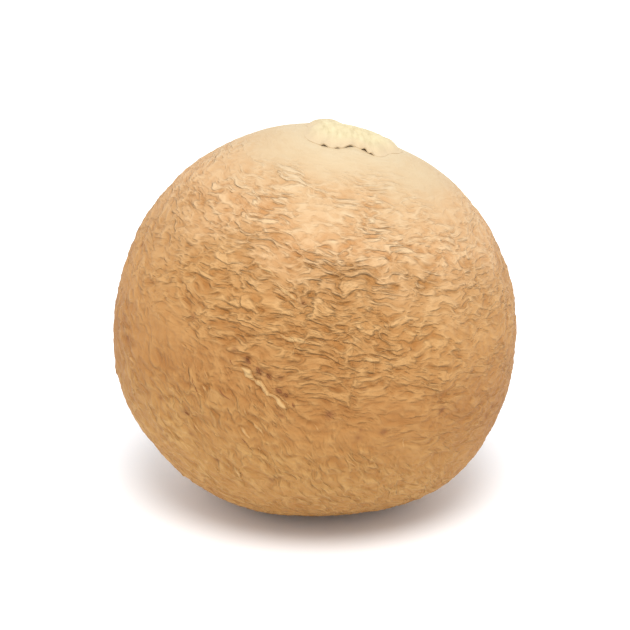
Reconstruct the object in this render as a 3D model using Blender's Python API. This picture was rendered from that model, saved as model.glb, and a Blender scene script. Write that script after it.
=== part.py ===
"""A dried betel nut: the whole husked seed of the areca palm, standing with its stem scar on top.

Metres, +Z up. Seen from the front, +X is the nut's right, and +Y points to its back. The origin is the
middle of the small flat spot that the nut rests on.
"""

import math

import bmesh
import bpy
from mathutils import Matrix, Vector, noise

MM = 0.001

# The driving sizes
NUT_WIDTH = 28.0 * MM
NUT_RADIUS = NUT_WIDTH / 2
RESTING_SPOT_DEPTH = 0.22 * MM

# How far the axis through the stem scar leans from upright
LEAN_RIGHT = math.radians(11)
LEAN_BACK = math.radians(7)

# The side outline, as weights of cos(0), cos(angle), cos(2 angle) and so on, with the angle taken from
# the scar: flattened at the scar, fullest well below the middle, and a little squared.
OUTLINE_WAVES = (0.9965, -0.019, -0.012, 0.012, 0.002)

# Broad swellings and hollows: bearing from the front towards the right, angle from the scar, height and
# spread. Angles are in degrees.
SWELLINGS = (
    (66, 132, 0.53 * MM, 24),
    (55, 153, -0.60 * MM, 26),
    (140, 160, -0.63 * MM, 28),
    (-115, 36, 0.30 * MM, 28),
    (98, 60, 0.16 * MM, 26),
    (139, 22, -0.32 * MM, 28),
    (-40, 118, -0.24 * MM, 30),
    (-90, 90, -0.37 * MM, 30),
    (150, 95, -0.07 * MM, 30),
)

# The uneven skin: how far apart its lumps lie, and how high they are
LUMP_SPACING = 8.0 * MM
LUMP_HEIGHT = 0.16 * MM
DIMPLE_SPACING = 3.2 * MM
DIMPLE_HEIGHT = 0.07 * MM

# Wrinkles that run round the axis, deepest in a band a little above the middle
WRINKLE_SPACING = 1.5 * MM
WRINKLE_LENGTH = 3.6 * MM
WRINKLE_HEIGHT = 0.06 * MM
WRINKLE_BAND_ANGLE = math.radians(82)
WRINKLE_BAND_SPREAD = math.radians(40)

# The stem scar: a thin plaque with a scalloped, slightly raised edge that is torn away at the front
SCAR_RADIUS = 3.75 * MM
SCAR_HEIGHT = 0.30 * MM
SCAR_EDGE_WIDTH = 0.45 * MM
SCAR_RIM_HEIGHT = 0.12 * MM
SCAR_RIM_WIDTH = 0.55 * MM
SCAR_SCALLOPS = ((2, 0.09, 0.6), (5, 0.06, 1.9), (9, 0.035, 0.4))
TORN_BEARING = math.radians(-4)
TORN_SPREAD = math.radians(24)
TORN_DEPTH = 1.0 * MM

# The stub of the stem that is left on the scar's back edge
STUB_BEARING = math.radians(-152)
STUB_DISTANCE = 3.9 * MM
STUB_HEIGHT = 0.24 * MM
STUB_WIDTH = 0.95 * MM

# The facets: even over the body and finer towards the scar
FACETS_AROUND = 80
FACETS_DOWN = 72
SCAR_FACET_SHARE = 0.40
SCAR_FACET_SPREAD = math.radians(36)

SKIN_COLOUR = (0.60, 0.32, 0.13)
SKIN_ROUGHNESS = 0.75


def fade(value):
    """Goes smoothly from 0 at 0 to 1 at 1."""
    value = min(max(value, 0.0), 1.0)
    return value * value * (3 - 2 * value)


def bell(distance, spread):
    """1 at no distance, dying away over the spread."""
    return math.exp(-((distance / spread) ** 2))


def direction_to(bearing, angle):
    """The unit vector at a bearing from the front and an angle from the scar."""
    across = math.sin(angle)
    return Vector((across * math.sin(bearing), -across * math.cos(bearing), math.cos(angle)))


def turn_between(first, second):
    """The angle between two bearings, the short way round."""
    return abs((first - second + math.pi) % math.tau - math.pi)


def outline(angle):
    """The radius of the plain nut, as a share of NUT_RADIUS."""
    return sum(weight * math.cos(order * angle) for order, weight in enumerate(OUTLINE_WAVES))


def swelling_height(direction):
    height = 0.0
    for bearing, angle, rise, spread in SWELLINGS:
        middle = direction_to(math.radians(bearing), math.radians(angle))
        height += rise * bell(direction.angle(middle), math.radians(spread))
    return height


def lump_height(direction):
    place = direction * NUT_RADIUS
    lumps = LUMP_HEIGHT * noise.noise(place / LUMP_SPACING)
    dimples = DIMPLE_HEIGHT * noise.noise(place / DIMPLE_SPACING)
    return lumps + dimples


def wrinkle_height(direction, angle):
    around = direction * (NUT_RADIUS / WRINKLE_LENGTH)
    down = angle * NUT_RADIUS / WRINKLE_SPACING
    ripple = noise.noise(Vector((around.x, around.y, down)))
    return WRINKLE_HEIGHT * ripple * bell(angle - WRINKLE_BAND_ANGLE, WRINKLE_BAND_SPREAD)


def scar_edge(bearing):
    """How far the plaque reaches from the middle of the scar."""
    reach = SCAR_RADIUS
    for count, share, phase in SCAR_SCALLOPS:
        reach += SCAR_RADIUS * share * math.sin(count * bearing + phase)
    return reach - TORN_DEPTH * bell(turn_between(bearing, TORN_BEARING), TORN_SPREAD)


def scar_height(bearing, angle):
    distance = angle * NUT_RADIUS
    edge = scar_edge(bearing)
    plaque = SCAR_HEIGHT * fade((edge - distance) / SCAR_EDGE_WIDTH)
    rim = SCAR_RIM_HEIGHT * bell(distance - edge + SCAR_RIM_WIDTH, SCAR_RIM_WIDTH)
    return plaque + rim


def stub_height(direction):
    stub = direction_to(STUB_BEARING, STUB_DISTANCE / NUT_RADIUS)
    return STUB_HEIGHT * bell(direction.angle(stub) * NUT_RADIUS, STUB_WIDTH)


def nut_radius(direction):
    """How far the surface lies from the nut's centre in this direction."""
    angle = math.acos(min(max(direction.z, -1.0), 1.0))
    bearing = math.atan2(direction.x, -direction.y)
    plain = NUT_RADIUS * outline(angle) + swelling_height(direction)
    skin = lump_height(direction) + wrinkle_height(direction, angle)
    return plain + skin + scar_height(bearing, angle) + stub_height(direction)


def drawn_to_scar(direction):
    """Moves a point of the plain sphere towards the scar, which gives the scar smaller facets."""
    angle = math.acos(min(max(direction.z, -1.0), 1.0))
    bearing = math.atan2(direction.x, -direction.y)
    return direction_to(bearing, angle * (1 - SCAR_FACET_SHARE * bell(angle, SCAR_FACET_SPREAD)))


def cut_resting_spot(mesh):
    """Cuts the lowest part off level and closes the cut with one flat face."""
    floor = min(vert.co.z for vert in mesh.verts) + RESTING_SPOT_DEPTH
    everything = mesh.verts[:] + mesh.edges[:] + mesh.faces[:]
    cut = bmesh.ops.bisect_plane(
        mesh, geom=everything, plane_co=(0, 0, floor), plane_no=(0, 0, -1), clear_outer=True
    )
    rim = [item for item in cut["geom_cut"] if isinstance(item, bmesh.types.BMEdge)]
    spot = bmesh.ops.contextual_create(mesh, geom=rim)["faces"][0]
    middle = spot.calc_center_median_weighted()
    bmesh.ops.translate(mesh, verts=mesh.verts, vec=-middle)


def skin_material():
    material = bpy.data.materials.new("dried_seed_coat")
    material.use_nodes = True
    shader = material.node_tree.nodes["Principled BSDF"]
    shader.inputs["Base Color"].default_value = (*SKIN_COLOUR, 1.0)
    shader.inputs["Roughness"].default_value = SKIN_ROUGHNESS
    shader.inputs["Metallic"].default_value = 0.0
    return material


def make_nut(collection):
    mesh = bmesh.new()
    bmesh.ops.create_uvsphere(mesh, u_segments=FACETS_AROUND, v_segments=FACETS_DOWN, radius=1.0)
    for vert in mesh.verts:
        direction = drawn_to_scar(vert.co.normalized())
        vert.co = direction * nut_radius(direction)
    lean = Matrix.Rotation(LEAN_RIGHT, 4, "Y") @ Matrix.Rotation(-LEAN_BACK, 4, "X")
    bmesh.ops.transform(mesh, matrix=lean, verts=mesh.verts)
    cut_resting_spot(mesh)
    bmesh.ops.recalc_face_normals(mesh, faces=mesh.faces)
    data = bpy.data.meshes.new("nut")
    mesh.to_mesh(data)
    mesh.free()
    data.shade_smooth()
    data.materials.append(skin_material())
    nut = bpy.data.objects.new("nut", data)
    collection.objects.link(nut)


def main():
    for obj in list(bpy.data.objects):
        bpy.data.objects.remove(obj)
    collection = bpy.data.collections.new("betel_nut")
    bpy.context.scene.collection.children.link(collection)
    make_nut(collection)


main()
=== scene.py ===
"""The looks of one dried betel nut: its wrinkled seed coat and the torn flake of husk on its stem scar.

Metres, +Z up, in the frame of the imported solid. Seen from the front, +X is the nut's right. A place on the
nut is a bearing from the front towards the right, and an angle from the middle of the stem scar.
"""

import math
import random

import bmesh
import bpy
from mathutils import Matrix, Vector, geometry, kdtree, noise


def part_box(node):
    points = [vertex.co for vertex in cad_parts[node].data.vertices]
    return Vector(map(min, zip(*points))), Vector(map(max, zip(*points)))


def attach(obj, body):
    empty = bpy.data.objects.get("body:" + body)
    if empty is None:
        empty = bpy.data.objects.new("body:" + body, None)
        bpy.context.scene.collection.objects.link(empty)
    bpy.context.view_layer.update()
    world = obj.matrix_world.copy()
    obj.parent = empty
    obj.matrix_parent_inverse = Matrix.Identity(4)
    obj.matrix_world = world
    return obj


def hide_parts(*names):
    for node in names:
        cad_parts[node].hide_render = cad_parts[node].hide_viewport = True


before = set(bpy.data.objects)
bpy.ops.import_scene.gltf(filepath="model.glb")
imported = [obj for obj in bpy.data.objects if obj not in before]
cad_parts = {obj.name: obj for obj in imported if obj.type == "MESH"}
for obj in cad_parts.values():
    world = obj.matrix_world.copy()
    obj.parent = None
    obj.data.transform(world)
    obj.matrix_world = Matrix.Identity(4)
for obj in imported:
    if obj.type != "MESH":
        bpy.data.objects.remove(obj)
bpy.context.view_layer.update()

MM = 0.001

# What is drawn at random starts from this seed.
DRAW_SEED = 12

# The nut's form, which repeats the solid's. Its outline is a sum of cosines of the angle's multiples, and
# the waves are their weights, from the constant one upwards.
NUT_RADIUS = 14.0 * MM
LEAN_RIGHT = math.radians(11)
LEAN_BACK = math.radians(7)
OUTLINE_WAVES = (0.9965, -0.019, -0.012, 0.012, 0.002)

# Broad swellings and hollows: a bearing, an angle, the height and the spread. All but the height are in
# degrees.
SWELLINGS = (
    (66, 132, 0.53 * MM, 24),
    (55, 153, -0.60 * MM, 26),
    (140, 160, -0.63 * MM, 28),
    (-115, 36, 0.30 * MM, 28),
    (98, 60, 0.16 * MM, 26),
    (139, 22, -0.32 * MM, 28),
    (-40, 118, -0.24 * MM, 30),
    (-90, 90, -0.37 * MM, 30),
    (150, 95, -0.07 * MM, 30),
)
LUMP_SPACING = 8.0 * MM
LUMP_HEIGHT = 0.16 * MM
DIMPLE_SPACING = 3.2 * MM
DIMPLE_HEIGHT = 0.07 * MM

# Wrinkles run round the axis. Each kind has a spacing, a length and a height, and the broad kind is the
# solid's. The crest of a fine one rises by the top's share of its height, and its sides fall by the
# sharpness.
BROAD_WRINKLE = (1.50 * MM, 3.60 * MM, 0.060 * MM)
FINE_WRINKLES = (
    (0.80 * MM, 1.70 * MM, 0.080 * MM),
    (0.45 * MM, 1.00 * MM, 0.042 * MM),
)
RIDGE_TOP = 0.5
RIDGE_SHARPNESS = 2.6
WRINKLE_SWAY = 0.55 * MM
WRINKLE_SWAY_SPACING = 1.8 * MM

# Where the skin is wrinkled: the broad wrinkles in a band, and the fine ones hardly at the shoulder, more
# at the sides, and most in the middle of the front
WRINKLE_BAND_ANGLE = math.radians(82)
WRINKLE_BAND_SPREAD = math.radians(40)
SHOULDER_ANGLES = (math.radians(26), math.radians(55))
SHOULDER_UNEVEN = math.radians(14)
SHOULDER_UNEVEN_SPACING = 4.5 * MM
SMOOTH_SKIN_SHARE = 0.12
WRINKLED_FRONT = (math.radians(-2), math.radians(70))
WRINKLED_FRONT_SPREAD = math.radians(32)
WRINKLED_FRONT_EXTRA = 0.75
WRINKLED_SIDES = 0.78

# The stem scar: the plaque that the flake lies on, and the stub of the stem on its back edge. The plaque's
# edge has scallops, each a count round the scar, a share of its radius and a phase. It is also ragged, and
# torn in at the front.
SCAR_RADIUS = 3.9 * MM
SCAR_SCALLOPS = ((2, 0.10, 1.6), (3, 0.03, 3.1), (5, 0.04, 0.3))
SCAR_RAGGEDNESS = 0.55 * MM
SCAR_RAGGED_PLACES = (2.5, 7.0)
TORN_BEARING = math.radians(5)
TORN_SPREAD = math.radians(17)
TORN_DEPTH = 1.4 * MM
PLAQUE_HEIGHT = 0.24 * MM
PLAQUE_SET_BACK = 0.75 * MM
PLAQUE_EDGE_WIDTH = 0.55 * MM
STUB_BEARING = math.radians(-152)
STUB_DISTANCE = 3.9 * MM
STUB_HEIGHT = 0.24 * MM
STUB_WIDTH = 0.95 * MM

# The torn flake of husk on the plaque. Its edge is stuck down but for a few places at the front, each of
# them a bearing and a spread in degrees and how far it lifts. The flake is uneven all over, and more finely
# so at its edge than in its middle.
FLAKE_THICKNESS = 0.10 * MM
FLAKE_HEIGHT = 0.32 * MM
FLAKE_EDGE_HEIGHT = 0.02 * MM
FLAKE_EDGE_WIDTH = 0.80 * MM
FLAKE_LIFTS = (
    (-29, 4, 0.28 * MM),
    (-16, 3, 0.18 * MM),
    (-4, 7, 0.20 * MM),
    (15, 3, 0.28 * MM),
    (22, 3, 0.20 * MM),
)
FLAKE_UNEVEN = 0.06 * MM
FLAKE_UNEVEN_IN_MIDDLE = 2
FLAKE_UNEVEN_AT_EDGE = 5
FLAKE_NOISE_PLACE = Vector((2, 9, 4))
FLAKE_SHARP_ANGLE = math.radians(50)
FLAKE_STEPS_AROUND = 240
FLAKE_STEPS_OUT = 30

# Slivers of skin that stand up along old scratches, each in a shallow furrow: from and to a bearing and an
# angle in degrees, the width and the height. The first three are the long scratch low on the front.
NAMED_SLIVERS = (
    ((-21.9, 92.4), (-16.8, 95.5), 0.50 * MM, 0.17 * MM),
    ((-17.8, 94.8), (-11.9, 98.6), 0.46 * MM, 0.15 * MM),
    ((-13.2, 97.6), (-6.4, 101.5), 0.38 * MM, 0.15 * MM),
    ((-28.4, 63.2), (-18.2, 66.1), 0.38 * MM, 0.12 * MM),
    ((-19.4, 67.0), (-9.7, 71.4), 0.34 * MM, 0.12 * MM),
    ((-13.5, 81.2), (-3.6, 82.0), 0.38 * MM, 0.11 * MM),
    ((11.2, 83.2), (16.2, 83.8), 0.34 * MM, 0.10 * MM),
    ((-15.9, 107.6), (-12.0, 112.3), 0.26 * MM, 0.09 * MM),
    ((-36.0, 115.0), (-33.4, 119.0), 0.26 * MM, 0.09 * MM),
    ((-20.0, 109.9), (-16.0, 113.5), 0.28 * MM, 0.09 * MM),
    ((-13.7, 115.3), (-12.3, 118.9), 0.24 * MM, 0.08 * MM),
    ((-22.7, 125.7), (-19.0, 133.3), 0.26 * MM, 0.09 * MM),
    ((-47.1, 120.6), (-39.8, 127.9), 0.26 * MM, 0.09 * MM),
    ((-39.7, 130.8), (-33.8, 138.6), 0.26 * MM, 0.09 * MM),
    ((-33.1, 101.6), (-30.7, 103.7), 0.22 * MM, 0.08 * MM),
    ((-65.5, 103.6), (-61.9, 105.0), 0.26 * MM, 0.09 * MM),
)
FURROW_DEPTH = 0.07 * MM
FURROW_WIDTH = 0.38 * MM

# The many short slivers at random places. Their cosines are the least, the most and the likeliest cosine of
# the angle, and their slope is its mean and its spread in degrees.
SLIVER_COUNT = 90
SLIVER_COSINES = (-0.95, 0.35, -0.45)
SLIVER_SLOPE = (60, 25)
SLIVER_LENGTH = (0.6 * MM, 1.7 * MM)
SLIVER_WIDTH = (0.12 * MM, 0.20 * MM)
SLIVER_HEIGHT = (0.03 * MM, 0.06 * MM)

# The form of each sliver: how it tapers to its tips, sways and is uneven, and how deep its edges and its
# keel are sunk in the skin. The higher it stands the paler it is, up to the highlight height: pale torn skin
# with a painted highlight on its crest.
SLIVER_TAPER = 0.7
SLIVER_TIP = 0.02
SLIVER_SWAY = 0.20 * MM
SLIVER_SWAY_SPACING = 0.90 * MM
SLIVER_UNEVEN = 0.9
SLIVER_UNEVEN_SPACING = 0.45 * MM
SLIVER_ROOT = 0.05 * MM
SLIVER_KEEL = 0.10 * MM
SLIVER_HIGHLIGHT_HEIGHT = 0.17 * MM
SLIVER_STEPS_ALONG = 24
SLIVER_STEPS_ACROSS = 6

# Beside the long scratch and below it lie dark flecks of painted shadow, the shade under its torn skin. The
# flecks are flat slivers of their own: from and to a bearing and an angle in degrees, and the width.
PAINTED_SHADOW_FLECKS = (
    ((-21.2, 89.7), (-19.4, 91.4), 0.20 * MM),
    ((-17.5, 91.6), (-15.6, 93.4), 0.21 * MM),
    ((-14.0, 92.5), (-12.7, 94.0), 0.16 * MM),
    ((-11.0, 95.9), (-9.4, 97.3), 0.19 * MM),
    ((-8.6, 97.1), (-7.6, 98.1), 0.16 * MM),
    ((-25.3, 91.3), (-24.1, 92.6), 0.15 * MM),
    ((-6.0, 99.3), (-5.0, 100.5), 0.15 * MM),
    ((-36.4, 100.3), (-33.5, 106.0), 0.14 * MM),
    ((-27.7, 100.1), (-23.1, 103.3), 0.14 * MM),
    ((-19.2, 113.9), (-16.4, 116.1), 0.14 * MM),
    ((-39.3, 112.5), (-37.8, 113.2), 0.18 * MM),
)
SHADOW_FLECK_HEIGHT = 0.03 * MM

# Small pits low on the nut: a bearing and an angle in degrees, the width and the depth
NAMED_PITS = (
    (-20.4, 90.5, 0.24 * MM, 0.10 * MM),
    (-16.5, 92.6, 0.26 * MM, 0.11 * MM),
    (-13.6, 93.1, 0.22 * MM, 0.09 * MM),
    (-10.3, 92.8, 0.18 * MM, 0.07 * MM),
    (-10.1, 96.9, 0.24 * MM, 0.10 * MM),
    (-8.1, 97.6, 0.20 * MM, 0.09 * MM),
    (5.0, 100.9, 0.28 * MM, 0.10 * MM),
    (38.7, 96.8, 0.26 * MM, 0.09 * MM),
    (14.9, 106.7, 0.20 * MM, 0.07 * MM),
    (-8.2, 128.0, 0.22 * MM, 0.07 * MM),
    (-5.1, 126.4, 0.20 * MM, 0.06 * MM),
    (-39.4, 112.4, 0.24 * MM, 0.08 * MM),
    (-37.9, 119.5, 0.22 * MM, 0.07 * MM),
    (-24.5, 88.5, 0.22 * MM, 0.07 * MM),
)

# The pits at random places, drawn as the slivers are. Each fades out within a few of its widths. Its colour
# darkens with its depth as painted shade, and one as deep as the full-shade depth takes the full painted
# shade.
PIT_COUNT = 60
PIT_COSINES = (-0.97, 0.60, -0.60)
PIT_WIDTH = (0.12 * MM, 0.24 * MM)
PIT_DEPTH = (0.04 * MM, 0.10 * MM)
PIT_REACH = 2.5
PIT_FULL_SHADE_DEPTH = 0.10 * MM

# The facets of the skin: finer across the wrinkles than along them, and finest in the middle of the front
STEPS_AROUND = 300
STEPS_DOWN = 328
MIDDLE_DRAW = 0.12
FRONT_DRAW = 0.28

# The light: a white room, a little cool, and one lamp whose spread softens the shadows
ROOM_BRIGHTNESS = 1.09
ROOM_COLOUR = "#F6FAFF"
LAMP_STRENGTH = 2.1
LAMP_SPREAD = math.radians(32)
LAMP_FORWARD = math.radians(30)
LAMP_RIGHT = math.radians(2)

# The camera looks down as steeply as the photograph does, and the nut takes up this share of the width.
CAMERA_ELEVATION = math.radians(22)
CAMERA_DISTANCE = 0.420
CAMERA_NEAR = 0.010
NUT_SHARE_OF_FRAME = 0.64
SENSOR_WIDTH = 36.0


def fade(value):
    """Goes smoothly from 0 at 0 to 1 at 1."""
    value = min(max(value, 0.0), 1.0)
    return value * value * (3 - 2 * value)


def rise_between(value, ends):
    """Goes smoothly from 0 at the first end to 1 at the second."""
    return fade((value - ends[0]) / (ends[1] - ends[0]))


def bell(distance, spread):
    """1 at no distance, dying away over the spread."""
    return math.exp(-((distance / spread) ** 2))


def direction_to(bearing, angle):
    """The unit vector at a bearing and an angle."""
    across = math.sin(angle)
    return Vector((across * math.sin(bearing), -across * math.cos(bearing), math.cos(angle)))


def bearing_and_angle(direction):
    """The bearing and the angle of a unit vector."""
    return math.atan2(direction.x, -direction.y), math.acos(min(max(direction.z, -1.0), 1.0))


def turn_between(first, second):
    """The angle between two bearings, the short way round."""
    return abs((first - second + math.pi) % math.tau - math.pi)


def seed_place(bearing, angle):
    """The point at a bearing and an angle in degrees on a plain ball."""
    return direction_to(math.radians(bearing), math.radians(angle)) * NUT_RADIUS


LEAN = Matrix.Rotation(LEAN_RIGHT, 3, "Y") @ Matrix.Rotation(-LEAN_BACK, 3, "X")
SWELLING_PLACES = [
    (direction_to(math.radians(bearing), math.radians(angle)), rise, math.radians(spread))
    for bearing, angle, rise, spread in SWELLINGS
]
STUB_PLACE = direction_to(STUB_BEARING, STUB_DISTANCE / NUT_RADIUS)
FRONT_PLACE = direction_to(*WRINKLED_FRONT)
FURROW_ENDS = [(seed_place(*start), seed_place(*end)) for start, end, _, _ in NAMED_SLIVERS]


def plain_radius(direction, angle):
    """The nut without its wrinkles and its scar, which is the solid's own form."""
    radius = NUT_RADIUS * sum(
        weight * math.cos(order * angle) for order, weight in enumerate(OUTLINE_WAVES)
    )
    for middle, rise, spread in SWELLING_PLACES:
        radius += rise * bell(direction.angle(middle), spread)
    place = direction * NUT_RADIUS
    radius += LUMP_HEIGHT * noise.noise(place / LUMP_SPACING)
    return radius + DIMPLE_HEIGHT * noise.noise(place / DIMPLE_SPACING)


def wrinkling(direction, angle):
    """How strongly the skin is wrinkled: hardly at the shoulder, most in the middle of the front."""
    uneven = SHOULDER_UNEVEN * noise.noise(direction * (NUT_RADIUS / SHOULDER_UNEVEN_SPACING))
    upper = SMOOTH_SKIN_SHARE + (1 - SMOOTH_SKIN_SHARE) * rise_between(angle + uneven, SHOULDER_ANGLES)
    front = WRINKLED_FRONT_EXTRA * bell(direction.angle(FRONT_PLACE), WRINKLED_FRONT_SPREAD)
    return upper * (WRINKLED_SIDES + front)


def broad_wrinkle(direction, angle):
    """Low rounded wrinkles in a band round the middle."""
    spacing, length, height = BROAD_WRINKLE
    around = direction * (NUT_RADIUS / length)
    down = angle * NUT_RADIUS / spacing
    band = bell(angle - WRINKLE_BAND_ANGLE, WRINKLE_BAND_SPREAD)
    return height * noise.noise(Vector((around.x, around.y, down))) * band


def fine_wrinkles(direction, angle):
    """Sharp ridges that sway and run into each other."""
    place = direction * NUT_RADIUS
    sway = WRINKLE_SWAY * noise.noise(place / WRINKLE_SWAY_SPACING)
    down = angle * NUT_RADIUS + sway
    total = 0.0
    for spacing, length, height in FINE_WRINKLES:
        ripple = noise.noise(Vector((place.x / length, place.y / length, down / spacing)))
        total += height * (RIDGE_TOP - RIDGE_SHARPNESS * abs(ripple))
    return total * wrinkling(direction, angle)


def scar_edge(bearing):
    """How far the plaque reaches from the middle of the scar, along its ragged edge."""
    reach = SCAR_RADIUS
    for count, share, phase in SCAR_SCALLOPS:
        reach += SCAR_RADIUS * share * math.sin(count * bearing + phase)
    around = Vector((math.sin(bearing), math.cos(bearing), 0.0))
    for places in SCAR_RAGGED_PLACES:
        reach += SCAR_RAGGEDNESS / places * noise.noise(around * places)
    return reach - TORN_DEPTH * bell(turn_between(bearing, TORN_BEARING), TORN_SPREAD)


def plaque_height(bearing, angle):
    """The raised plaque, whose edge slopes down under the flake."""
    inner_edge = scar_edge(bearing) - PLAQUE_SET_BACK
    return PLAQUE_HEIGHT * fade((inner_edge - angle * NUT_RADIUS) / PLAQUE_EDGE_WIDTH)


def stub_height(direction):
    """The low stub of the stem."""
    return STUB_HEIGHT * bell(direction.angle(STUB_PLACE) * NUT_RADIUS, STUB_WIDTH)


def furrow_depth(direction):
    """The shallow furrows that the named slivers stand in."""
    place = direction * NUT_RADIUS
    depth = 0.0
    for start, end in FURROW_ENDS:
        nearest, share = geometry.intersect_point_line(place, start, end)
        nearest = start.lerp(end, min(max(share, 0.0), 1.0))
        depth = max(depth, FURROW_DEPTH * bell((place - nearest).length, FURROW_WIDTH))
    return depth


def skin_radius(direction):
    """The nut's radius with its relief, and how high its fine wrinkles stand there."""
    bearing, angle = bearing_and_angle(direction)
    fine = fine_wrinkles(direction, angle) - furrow_depth(direction)
    form = plain_radius(direction, angle) + plaque_height(bearing, angle) + stub_height(direction)
    return form + broad_wrinkle(direction, angle) + fine, fine


def drawn_place(draw, cosines):
    """A random bearing and angle in degrees."""
    bearing = draw.uniform(-180, 180)
    return bearing, math.degrees(math.acos(draw.triangular(*cosines)))


def drawn_pit(draw):
    """A random pit, more likely low on the nut."""
    bearing, angle = drawn_place(draw, PIT_COSINES)
    return bearing, angle, draw.uniform(*PIT_WIDTH), draw.uniform(*PIT_DEPTH)


def pit_depths(directions, draw):
    """How deep in a pit each point lies."""
    tree = kdtree.KDTree(len(directions))
    for place, direction in enumerate(directions):
        tree.insert(direction * NUT_RADIUS, place)
    tree.balance()
    depths = [0.0] * len(directions)
    pits = list(NAMED_PITS) + [drawn_pit(draw) for _ in range(PIT_COUNT)]
    for bearing, angle, width, deep in pits:
        for _, place, distance in tree.find_range(seed_place(bearing, angle), PIT_REACH * width):
            depths[place] = max(depths[place], deep * bell(distance, width))
    return depths


def link(obj):
    """Puts an object in the scene."""
    bpy.context.scene.collection.objects.link(obj)
    return obj


def finish_mesh(mesh, name, attributes):
    """Makes a smooth object. Each attribute of its points is a name, a type, a field and the values."""
    data = bpy.data.meshes.new(name)
    mesh.to_mesh(data)
    mesh.free()
    data.shade_smooth()
    for attribute, kind, field, values in attributes:
        data.attributes.new(attribute, kind, "POINT").data.foreach_set(field, values)
    return link(bpy.data.objects.new(name, data))


def skin_attributes(directions, amounts, fine, pits, torn_skin_and_highlight):
    """What the skin's material reads: where on the nut it is, how wrinkled, how much painted shade its pits
    and dark flecks take, and how much pale torn skin with a painted highlight.
    """
    places = []
    for direction in directions:
        angle = bearing_and_angle(direction)[1]
        places += (direction.x * NUT_RADIUS, direction.y * NUT_RADIUS, angle * NUT_RADIUS)
    _, _, full_height = FINE_WRINKLES[0]
    return (
        ("skin_place", "FLOAT_VECTOR", "vector", places),
        ("wrinkling", "FLOAT", "value", amounts),
        ("fine_wrinkles", "FLOAT", "value", [height / full_height for height in fine]),
        ("pits", "FLOAT", "value", [depth / PIT_FULL_SHADE_DEPTH for depth in pits]),
        ("torn_skin_and_highlight", "FLOAT", "value", torn_skin_and_highlight),
    )


def drawn_to_front(direction):
    """Moves a direction towards the middle of the front, where the facets are then smallest."""
    bearing, angle = bearing_and_angle(direction)
    bearing -= FRONT_DRAW * math.sin(bearing)
    angle += MIDDLE_DRAW * math.sin(2 * angle)
    return direction_to(bearing, angle)


def seat(points):
    """What moves the leaning form to where the solid is, from its box and the solid's box."""
    low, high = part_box("nut")
    axes = [[point[axis] for point in points] for axis in range(3)]
    across = [(low[axis] + high[axis] - min(axes[axis]) - max(axes[axis])) / 2 for axis in range(2)]
    return Vector((*across, high.z - max(axes[2])))


def make_skin(draw):
    """The whole nut as one closed skin, with its wrinkles as real relief, and what seats it."""
    mesh = bmesh.new()
    bmesh.ops.create_uvsphere(mesh, u_segments=STEPS_AROUND, v_segments=STEPS_DOWN, radius=1.0)
    directions = [drawn_to_front(vert.co.normalized()) for vert in mesh.verts]
    pits = pit_depths(directions, draw)
    fine = []
    for vert, direction, pit in zip(mesh.verts, directions, pits):
        radius, wrinkles = skin_radius(direction)
        vert.co = LEAN @ (direction * (radius - pit))
        fine.append(wrinkles)
    shift = seat([vert.co for vert in mesh.verts])
    for vert in mesh.verts:
        vert.co += shift
        vert.co.z = max(vert.co.z, 0.0)
    amounts = [wrinkling(direction, bearing_and_angle(direction)[1]) for direction in directions]
    attributes = skin_attributes(directions, amounts, fine, pits, [0.0] * len(directions))
    return finish_mesh(mesh, "betel_nut_skin", attributes), shift


def along_sliver(start, end, share, side):
    """The direction at a share of a sliver's length and at a distance to its side."""
    bearing, angle = (math.radians(first + (last - first) * share) for first, last in zip(start, end))
    across = Vector(((end[0] - start[0]) * math.sin(angle), end[1] - start[1])).normalized()
    bearing -= side * across.y / (NUT_RADIUS * math.sin(angle))
    angle += side * across.x / NUT_RADIUS
    return direction_to(bearing, angle)


def sliver_outline(width, height):
    """A sliver across: an arch with its edges sunk in the skin, and a keel below it."""
    outline = []
    for step in range(SLIVER_STEPS_ACROSS + 1):
        side = step / SLIVER_STEPS_ACROSS * 2 - 1
        outline.append((side * width / 2, height * (1 - side * side) - SLIVER_ROOT * side * side))
    outline.append((0.0, -SLIVER_KEEL))
    return outline


def add_sliver(mesh, directions, rises, start, end, width, height):
    """One thin closed ridge that sways and has pointed ends."""
    rings = []
    for step in range(SLIVER_STEPS_ALONG + 1):
        share = step / SLIVER_STEPS_ALONG
        spine = along_sliver(start, end, share, 0.0) * NUT_RADIUS
        sway = SLIVER_SWAY * noise.noise(spine / SLIVER_SWAY_SPACING)
        taper = math.sin(math.pi * min(max(share, SLIVER_TIP), 1 - SLIVER_TIP)) ** SLIVER_TAPER
        taper *= 1 + SLIVER_UNEVEN * noise.noise(spine / SLIVER_UNEVEN_SPACING)
        ring = []
        for side, rise in sliver_outline(width * taper, height * taper):
            direction = along_sliver(start, end, share, sway + side)
            ring.append(mesh.verts.new(LEAN @ (direction * (skin_radius(direction)[0] + rise))))
            directions.append(direction)
            rises.append(max(rise, 0.0))
        rings.append(ring)
    for first, second in zip(rings, rings[1:]):
        for turn in range(len(first)):
            after = (turn + 1) % len(first)
            mesh.faces.new((first[turn], first[after], second[after], second[turn]))
    mesh.faces.new(rings[0])
    mesh.faces.new(rings[-1])


def drawn_sliver(draw):
    """A short sliver at a random place, mostly low on the nut and mostly steep."""
    bearing, angle = drawn_place(draw, SLIVER_COSINES)
    length = math.degrees(draw.uniform(*SLIVER_LENGTH) / NUT_RADIUS)
    slope = math.radians(draw.gauss(*SLIVER_SLOPE))
    along = length * math.cos(slope) / math.sin(math.radians(angle))
    end = (bearing + along, angle + length * math.sin(slope))
    return (bearing, angle), end, draw.uniform(*SLIVER_WIDTH), draw.uniform(*SLIVER_HEIGHT)


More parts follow.
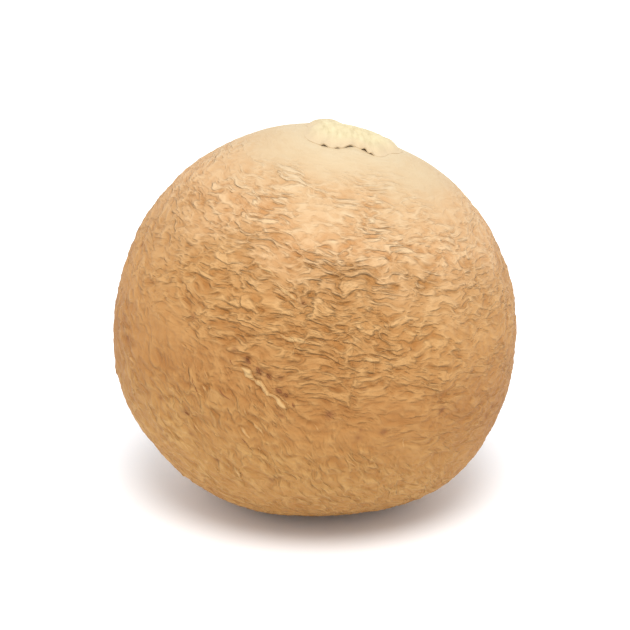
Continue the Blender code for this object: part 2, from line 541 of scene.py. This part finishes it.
def make_slivers(draw, shift):
    """All the slivers, painted paler the higher they stand as a highlight over pale torn skin, and the flat
    flecks of painted shadow beside the long scratch.
    """
    mesh = bmesh.new()
    directions, rises = [], []
    drawn = [drawn_sliver(draw) for _ in range(SLIVER_COUNT)]
    for start, end, width, height in (*NAMED_SLIVERS, *drawn):
        add_sliver(mesh, directions, rises, start, end, width, height)
    # Each sliver is painted paler the higher it stands: pale torn skin with a painted highlight on its crest
    torn_skin_and_highlight = [min(rise / SLIVER_HIGHLIGHT_HEIGHT, 1.0) for rise in rises]
    for start, end, width in PAINTED_SHADOW_FLECKS:
        add_sliver(mesh, directions, rises, start, end, width, SHADOW_FLECK_HEIGHT)
    bmesh.ops.translate(mesh, vec=shift, verts=mesh.verts)
    bmesh.ops.recalc_face_normals(mesh, faces=mesh.faces)
    amounts = [1.0] * len(directions)
    shadow_fleck_points = len(directions) - len(torn_skin_and_highlight)
    # The flecks take the full painted shade of a pit, as the painted shadow under the torn skin
    pits = [0.0] * len(torn_skin_and_highlight) + [PIT_FULL_SHADE_DEPTH] * shadow_fleck_points
    torn_skin_and_highlight += [0.0] * shadow_fleck_points
    return finish_mesh(mesh, "skin_slivers", skin_attributes(directions, amounts, rises, pits, torn_skin_and_highlight))


def flake_top(bearing, share):
    """The height of the flake's upper face over the plain nut, at a share of the way to its edge."""
    lifts = (
        rise * bell(turn_between(bearing, math.radians(place)), math.radians(spread))
        for place, spread, rise in FLAKE_LIFTS
    )
    around = Vector((math.sin(bearing), math.cos(bearing), 0.0))
    places = FLAKE_UNEVEN_IN_MIDDLE + (FLAKE_UNEVEN_AT_EDGE - FLAKE_UNEVEN_IN_MIDDLE) * share
    uneven = FLAKE_UNEVEN * noise.noise(around * places + FLAKE_NOISE_PLACE)
    edge = FLAKE_EDGE_HEIGHT + max(lifts)
    inward = (1 - share) * scar_edge(bearing)
    return edge + (FLAKE_HEIGHT - edge) * fade(inward / FLAKE_EDGE_WIDTH) + uneven


def add_flake_face(mesh, below, shift, edges):
    """One face of the flake, at a depth below its top, made of rings. Gives the outermost ring."""
    rings = []
    for step in range(1, FLAKE_STEPS_OUT + 1):
        share = step / FLAKE_STEPS_OUT
        ring = []
        for turn in range(FLAKE_STEPS_AROUND):
            bearing = math.tau * turn / FLAKE_STEPS_AROUND - math.pi
            angle = share * scar_edge(bearing) / NUT_RADIUS
            direction = direction_to(bearing, angle)
            height = flake_top(bearing, share) - below + stub_height(direction)
            radius = plain_radius(direction, angle) + height
            ring.append(mesh.verts.new(shift + LEAN @ (direction * radius)))
            edges.append(share)
        rings.append(ring)
    top = direction_to(0.0, 0.0)
    radius = plain_radius(top, 0.0) + FLAKE_HEIGHT - below + stub_height(top)
    middle = mesh.verts.new(shift + LEAN @ (top * radius))
    edges.append(0.0)
    for turn in range(FLAKE_STEPS_AROUND):
        after = (turn + 1) % FLAKE_STEPS_AROUND
        mesh.faces.new((middle, rings[0][turn], rings[0][after]))
        for inner, outer in zip(rings, rings[1:]):
            mesh.faces.new((inner[turn], outer[turn], outer[after], inner[after]))
    return rings[-1]


def make_flake(shift):
    """A thin closed sheet over the plaque, lifted clear of the skin at places along its torn front edge."""
    mesh = bmesh.new()
    edges = []
    upper, lower = (add_flake_face(mesh, below, shift, edges) for below in (0.0, FLAKE_THICKNESS))
    for turn in range(FLAKE_STEPS_AROUND):
        after = (turn + 1) % FLAKE_STEPS_AROUND
        mesh.faces.new((upper[turn], lower[turn], lower[after], upper[after]))
    bmesh.ops.recalc_face_normals(mesh, faces=mesh.faces)
    flake = finish_mesh(mesh, "scar_flake", [("to_edge", "FLOAT", "value", edges)])
    flake.data.set_sharp_from_angle(angle=FLAKE_SHARP_ANGLE)
    return flake


def linear(colour):
    """The linear RGBA of an sRGB hex colour."""
    parts = [int(colour[place : place + 2], 16) / 255 for place in (1, 3, 5)]
    return (*[p / 12.92 if p <= 0.04045 else ((p + 0.055) / 1.055) ** 2.4 for p in parts], 1.0)


def add(tree, kind, inputs, output=0, stops=(), **settings):
    """Adds a node with its settings and links, and gives an output. Each input is a value or an output."""
    made = tree.nodes.new(kind)
    for name, value in settings.items():
        setattr(made, name, value)
    for name, value in inputs.items():
        if isinstance(value, bpy.types.NodeSocket):
            tree.links.new(value, made.inputs[name])
        else:
            made.inputs[name].default_value = value
    for position, _ in stops[1:-1]:
        made.color_ramp.elements.new(position)
    for place, (position, colour) in enumerate(stops):
        made.color_ramp.elements[place].position = position
        made.color_ramp.elements[place].color = linear(colour)
    return made.outputs[output]


def new_material(name):
    """A new material, its node tree and its shader."""
    material = bpy.data.materials.new(name)
    material.use_nodes = True
    tree = material.node_tree
    return material, tree, tree.nodes["Principled BSDF"]


def lumps(tree, place, size, detail, turn=0.0, output="Fac"):
    """Soft lumps from 0 to 1 of a real size along the three axes of the place, turned about its Y."""
    inputs = {"Vector": place, "Scale": size, "Rotation": (0.0, turn, 0.0)}
    turned = add(tree, "ShaderNodeMapping", inputs, vector_type="TEXTURE")
    return add(tree, "ShaderNodeTexNoise", {"Vector": turned, "Scale": 1.0, "Detail": detail}, output)


# The thin seed coat of a dried areca seed: dull, woody, and finely wrinkled as the seed shrank. It is cream
# round the stem scar, then pale tan, and a warmer tan brown below, with painted highlights on its crests
# and painted shade in its creases.
SEED_COAT_IOR = 1.45
SEED_COAT_ROUGHNESS = 0.75
SEED_COAT_GLOSS = 0.35

# Its colour by how far it is from the middle of the scar, as shares of the coat's length
COAT_LENGTH = 40.0 * MM
COAT_STOPS = (
    (0.00, "#CAB490"),
    (0.10, "#C8B28F"),
    (0.13, "#C7AE89"),
    (0.17, "#C4A882"),
    (0.22, "#C6A379"),
    (0.32, "#C59B6D"),
    (0.39, "#B78A58"),
    (0.46, "#B4844E"),
    (0.60, "#A4723C"),
    (0.76, "#B08147"),
)

# Patches a few millimetres wide, where the colour drifts a little and the wrinkles are weaker. The ranges
# are of the noise that makes them.
PATCH_SIZE = (5.0 * MM, 5.0 * MM, 5.0 * MM)
DRIFT_RANGE = (0.25, 0.75)
COLOUR_DRIFT = 0.04
PATCH_RANGE = (0.25, 0.60)
LEAST_IN_PATCH = 0.45

# The relief of the coat: how it sways, its crumple, and the thin ridges and creases that run through that.
# They lie where their noise crosses its middle value. The creases are read so far along the noise from the
# ridges that the two don't follow each other.
SWAY_SIZE = (2.4 * MM, 2.4 * MM, 2.4 * MM)
SWAY = 1.3 * MM
CRUMPLE_SIZE = (1.15 * MM, 1.15 * MM, 0.50 * MM)
LINE_SIZE = (1.80 * MM, 1.80 * MM, 0.74 * MM)
LINE_MIDDLE = 0.5
LINE_HALF_WIDTH = 0.12
LINE_HEIGHT = 0.32
CREASE_SHIFT = 37 * MM
RELIEF_DEPTH = 0.36 * MM

# The grain of the dry skin. The real grain, about a tenth of a millimetre, is too fine to show in the
# render, so it is drawn as coarse as it needs to show.
GRAIN_SIZE = (0.40 * MM, 0.40 * MM, 0.20 * MM)
GRAIN_DEPTH = 0.04 * MM

# Low on the left the relief turns steep, like old scratches. The slant gives the way there on the nut, and
# the start and the full turn are distances along it.
STEEP_TURN = math.radians(-50)
STEEP_SLANT = (-0.3, 0.0, 1.0)
STEEP_START = 22.5 * MM
STEEP_FULL = 27 * MM

# How much the relief paints shade into the creases and highlights onto the crests. The middle tone leaves
# the coat's colour as it is.
WRINKLE_PAINTED_SHADING = 0.12
GRAIN_PAINTED_SHADING = 0.13
RELIEF_SHADE_AND_HIGHLIGHT_TONES = (
    (0.05, "#A6977C"),
    (0.58, "#BCBCBC"),
    (0.95, "#CBD4E2"),
)
# Painted shade, darker the deeper a pit is, and the painted shadow of the dark flecks
PIT_SHADE_COLOUR = "#82512A"
# Pale torn skin with a painted highlight, stronger the higher a sliver stands
TORN_SKIN_AND_HIGHLIGHT_COLOUR = "#C39C67"


def creases(tree, place, turn):
    """Soft crumple about half high, with thin ridges and creases along it."""
    relief = lumps(tree, place, CRUMPLE_SIZE, detail=3.0, turn=turn)
    for shift, height in ((0.0, LINE_HEIGHT), (CREASE_SHIFT, -LINE_HEIGHT)):
        shifted = add(tree, "ShaderNodeVectorMath", {0: place, 1: (shift, 0.0, 0.0)})
        line = lumps(tree, shifted, LINE_SIZE, detail=2.0, turn=turn)
        line = add(tree, "ShaderNodeMath", {0: line, 1: LINE_MIDDLE}, operation="SUBTRACT")
        line = add(tree, "ShaderNodeMath", {0: line}, operation="ABSOLUTE")
        inputs = {"Value": line, "From Min": LINE_HALF_WIDTH, "From Max": 0.0}
        line = add(tree, "ShaderNodeMapRange", inputs, interpolation_type="SMOOTHSTEP")
        inputs = {0: line, 1: height, 2: relief}
        relief = add(tree, "ShaderNodeMath", inputs, operation="MULTIPLY_ADD")
    return relief


def skin_relief(tree, place):
    """The height of the wrinkled skin and its fine grain, both about half on the whole."""
    offset = lumps(tree, place, SWAY_SIZE, detail=1.0, output="Color")
    inputs = {0: offset, 1: (SWAY, SWAY, SWAY), 2: place}
    swayed = add(tree, "ShaderNodeVectorMath", inputs, operation="MULTIPLY_ADD")
    inputs = {0: place, 1: STEEP_SLANT}
    down_left = add(tree, "ShaderNodeVectorMath", inputs, "Value", operation="DOT_PRODUCT")
    inputs = {"Value": down_left, "From Min": STEEP_START, "From Max": STEEP_FULL}
    steepness = add(tree, "ShaderNodeMapRange", inputs, interpolation_type="SMOOTHSTEP")
    level, steep = (creases(tree, swayed, turn) for turn in (0.0, STEEP_TURN))
    relief = add(tree, "ShaderNodeMix", {"Factor": steepness, "A": level, "B": steep})
    return relief, lumps(tree, swayed, GRAIN_SIZE, detail=3.0)


def coat_colour(tree, place, patches):
    """The coat's colour by how far it is from the scar, a little uneven."""
    down = add(tree, "ShaderNodeSeparateXYZ", {"Vector": place}, "Z")
    inputs = {
        "Value": patches,
        "From Min": DRIFT_RANGE[0],
        "From Max": DRIFT_RANGE[1],
        "To Min": -COLOUR_DRIFT,
        "To Max": COLOUR_DRIFT,
    }
    drift = add(tree, "ShaderNodeMapRange", inputs)
    inputs = {0: down, 1: 1 / COAT_LENGTH, 2: drift}
    share = add(tree, "ShaderNodeMath", inputs, operation="MULTIPLY_ADD")
    return add(tree, "ShaderNodeValToRGB", {"Fac": share}, stops=COAT_STOPS)


def patchy_wrinkling(tree, wrinkled, patches):
    """How strongly the skin is wrinkled, with weaker patches."""
    inputs = {
        "Value": patches,
        "From Min": PATCH_RANGE[0],
        "From Max": PATCH_RANGE[1],
        "To Min": LEAST_IN_PATCH,
    }
    share = add(tree, "ShaderNodeMapRange", inputs, interpolation_type="SMOOTHSTEP")
    return add(tree, "ShaderNodeMath", {0: wrinkled, 1: share}, operation="MULTIPLY")


def seed_coat():
    """The material of the skin and its slivers."""
    material, tree, shader = new_material("dried_areca_seed_coat")
    place = add(tree, "ShaderNodeAttribute", {}, "Vector", attribute_name="skin_place")
    wrinkled, wrinkles, pits, torn_skin_and_highlight = (
        add(tree, "ShaderNodeAttribute", {}, "Fac", attribute_name=name)
        for name in ("wrinkling", "fine_wrinkles", "pits", "torn_skin_and_highlight")
    )
    patches = lumps(tree, place, PATCH_SIZE, detail=3.0)
    amount = patchy_wrinkling(tree, wrinkled, patches)
    relief, grain = skin_relief(tree, place)

    # Painted shade in the creases and painted highlights on the crests, from the wrinkles' height, the
    # relief and the grain
    inputs = {0: wrinkles, 1: WRINKLE_PAINTED_SHADING, 2: relief}
    painted_shading = add(tree, "ShaderNodeMath", inputs, operation="MULTIPLY_ADD")
    painted_shading = add(tree, "ShaderNodeMath", {0: grain, 1: GRAIN_PAINTED_SHADING, 2: painted_shading}, operation="MULTIPLY_ADD")
    painted_shading = add(tree, "ShaderNodeValToRGB", {"Fac": painted_shading}, stops=RELIEF_SHADE_AND_HIGHLIGHT_TONES)
    inputs = {"Factor": amount, "A": coat_colour(tree, place, patches), "B": painted_shading}
    colour = add(tree, "ShaderNodeMix", inputs, "Result", data_type="RGBA", blend_type="OVERLAY")
    # Painted shade in the pits and painted shadow in the flecks, then pale torn skin with its painted
    # highlight
    for share, other in ((pits, PIT_SHADE_COLOUR), (torn_skin_and_highlight, TORN_SKIN_AND_HIGHLIGHT_COLOUR)):
        inputs = {"Factor": share, "A": colour, "B": linear(other)}
        colour = add(tree, "ShaderNodeMix", inputs, "Result", data_type="RGBA")

    height = add(tree, "ShaderNodeMath", {0: relief, 1: amount}, operation="MULTIPLY")
    fine = add(tree, "ShaderNodeBump", {"Height": grain, "Distance": GRAIN_DEPTH, "Strength": 1.0})
    inputs = {"Height": height, "Distance": RELIEF_DEPTH, "Strength": 1.0, "Normal": fine}
    normal = add(tree, "ShaderNodeBump", inputs)
    tree.links.new(colour, shader.inputs["Base Color"])
    tree.links.new(normal, shader.inputs["Normal"])
    shader.inputs["Roughness"].default_value = SEED_COAT_ROUGHNESS
    shader.inputs["IOR"].default_value = SEED_COAT_IOR
    shader.inputs["Specular IOR Level"].default_value = SEED_COAT_GLOSS
    return material


# Torn husk that dried on the scar: papery, pale cream and dull, its fibres running to the torn edge and its
# rim darker. Real husk fibres are a tenth to a fifth of a millimetre wide, too fine to show, so they are
# drawn as coarse as they need to show.
HUSK_IOR = 1.45
HUSK_ROUGHNESS = 0.85
HUSK_FIBRE_SIZE = (0.35 * MM, 1.6 * MM, 1.6 * MM)
HUSK_FIBRE_DEPTH = 0.05 * MM
HUSK_STOPS = ((0.30, "#C2AF86"), (0.50, "#D0BF95"), (0.75, "#D9CAA2"))
HUSK_RIM = "#C8B18E"
HUSK_RIM_SHARES = (0.60, 0.95)


def torn_husk():
    """The material of the flake."""
    material, tree, shader = new_material("dried_husk_flake")
    place = add(tree, "ShaderNodeTexCoord", {}, "Object")
    fibres = lumps(tree, place, HUSK_FIBRE_SIZE, detail=4.0)
    colour = add(tree, "ShaderNodeValToRGB", {"Fac": fibres}, stops=HUSK_STOPS)
    to_edge = add(tree, "ShaderNodeAttribute", {}, "Fac", attribute_name="to_edge")
    rim_start, rim_full = HUSK_RIM_SHARES
    inputs = {"Value": to_edge, "From Min": rim_start, "From Max": rim_full}
    rim = add(tree, "ShaderNodeMapRange", inputs)
    inputs = {"Factor": rim, "A": colour, "B": linear(HUSK_RIM)}
    colour = add(tree, "ShaderNodeMix", inputs, "Result", data_type="RGBA")
    inputs = {"Height": fibres, "Distance": HUSK_FIBRE_DEPTH, "Strength": 1.0}
    normal = add(tree, "ShaderNodeBump", inputs)
    tree.links.new(colour, shader.inputs["Base Color"])
    tree.links.new(normal, shader.inputs["Normal"])
    shader.inputs["Roughness"].default_value = HUSK_ROUGHNESS
    shader.inputs["IOR"].default_value = HUSK_IOR
    return material


# White paper card, uncoated: matt, so that nothing mirrors in it
CARD_COLOUR = "#FCFCFC"
CARD_ROUGHNESS = 1.0
CARD_GLOSS = 0.0
CARD_HALF_WIDTH = 2.0


def make_floor():
    """A wide sheet of white card."""
    mesh = bmesh.new()
    bmesh.ops.create_grid(mesh, x_segments=1, y_segments=1, size=CARD_HALF_WIDTH)
    floor = finish_mesh(mesh, "floor", ())
    material, _, shader = new_material("white_card")
    shader.inputs["Base Color"].default_value = linear(CARD_COLOUR)
    shader.inputs["Roughness"].default_value = CARD_ROUGHNESS
    shader.inputs["Specular IOR Level"].default_value = CARD_GLOSS
    floor.data.materials.append(material)


def light_the_studio():
    """A bright even studio with one soft lamp overhead, a little in front of the nut."""
    world = bpy.data.worlds.new("studio")
    world.use_nodes = True
    background = world.node_tree.nodes["Background"]
    background.inputs["Color"].default_value = linear(ROOM_COLOUR)
    background.inputs["Strength"].default_value = ROOM_BRIGHTNESS
    bpy.context.scene.world = world
    lamp = bpy.data.lights.new("overhead_lamp", "SUN")
    lamp.energy = LAMP_STRENGTH
    lamp.angle = LAMP_SPREAD
    overhead = link(bpy.data.objects.new("overhead_lamp", lamp))
    overhead.rotation_euler = (LAMP_FORWARD, LAMP_RIGHT, 0.0)


def place_camera():
    """The camera in front, looking down at the middle of the nut."""
    low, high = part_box("nut")
    target = (low + high) / 2
    towards = Vector((0.0, -math.cos(CAMERA_ELEVATION), math.sin(CAMERA_ELEVATION)))
    data = bpy.data.cameras.new("camera")
    data.sensor_width = SENSOR_WIDTH
    frame_width = (high.x - low.x) / NUT_SHARE_OF_FRAME
    data.lens = SENSOR_WIDTH * CAMERA_DISTANCE / frame_width
    data.clip_start = CAMERA_NEAR
    camera = link(bpy.data.objects.new("camera", data))
    camera.location = target + towards * CAMERA_DISTANCE
    camera.rotation_euler = (-towards).to_track_quat("-Z", "Y").to_euler()
    bpy.context.scene.camera = camera


def dress_nut():
    """The three pieces of the nut with their materials, on the one body."""
    draw = random.Random(DRAW_SEED)
    skin, shift = make_skin(draw)
    slivers = make_slivers(draw, shift)
    flake = make_flake(shift)
    coat = seed_coat()
    for piece, material in ((skin, coat), (slivers, coat), (flake, torn_husk())):
        piece.data.materials.append(material)
        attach(piece, "root")
    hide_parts("nut")


bpy.context.scene.view_settings.view_transform = "Standard"
place_camera()
light_the_studio()
make_floor()
dress_nut()
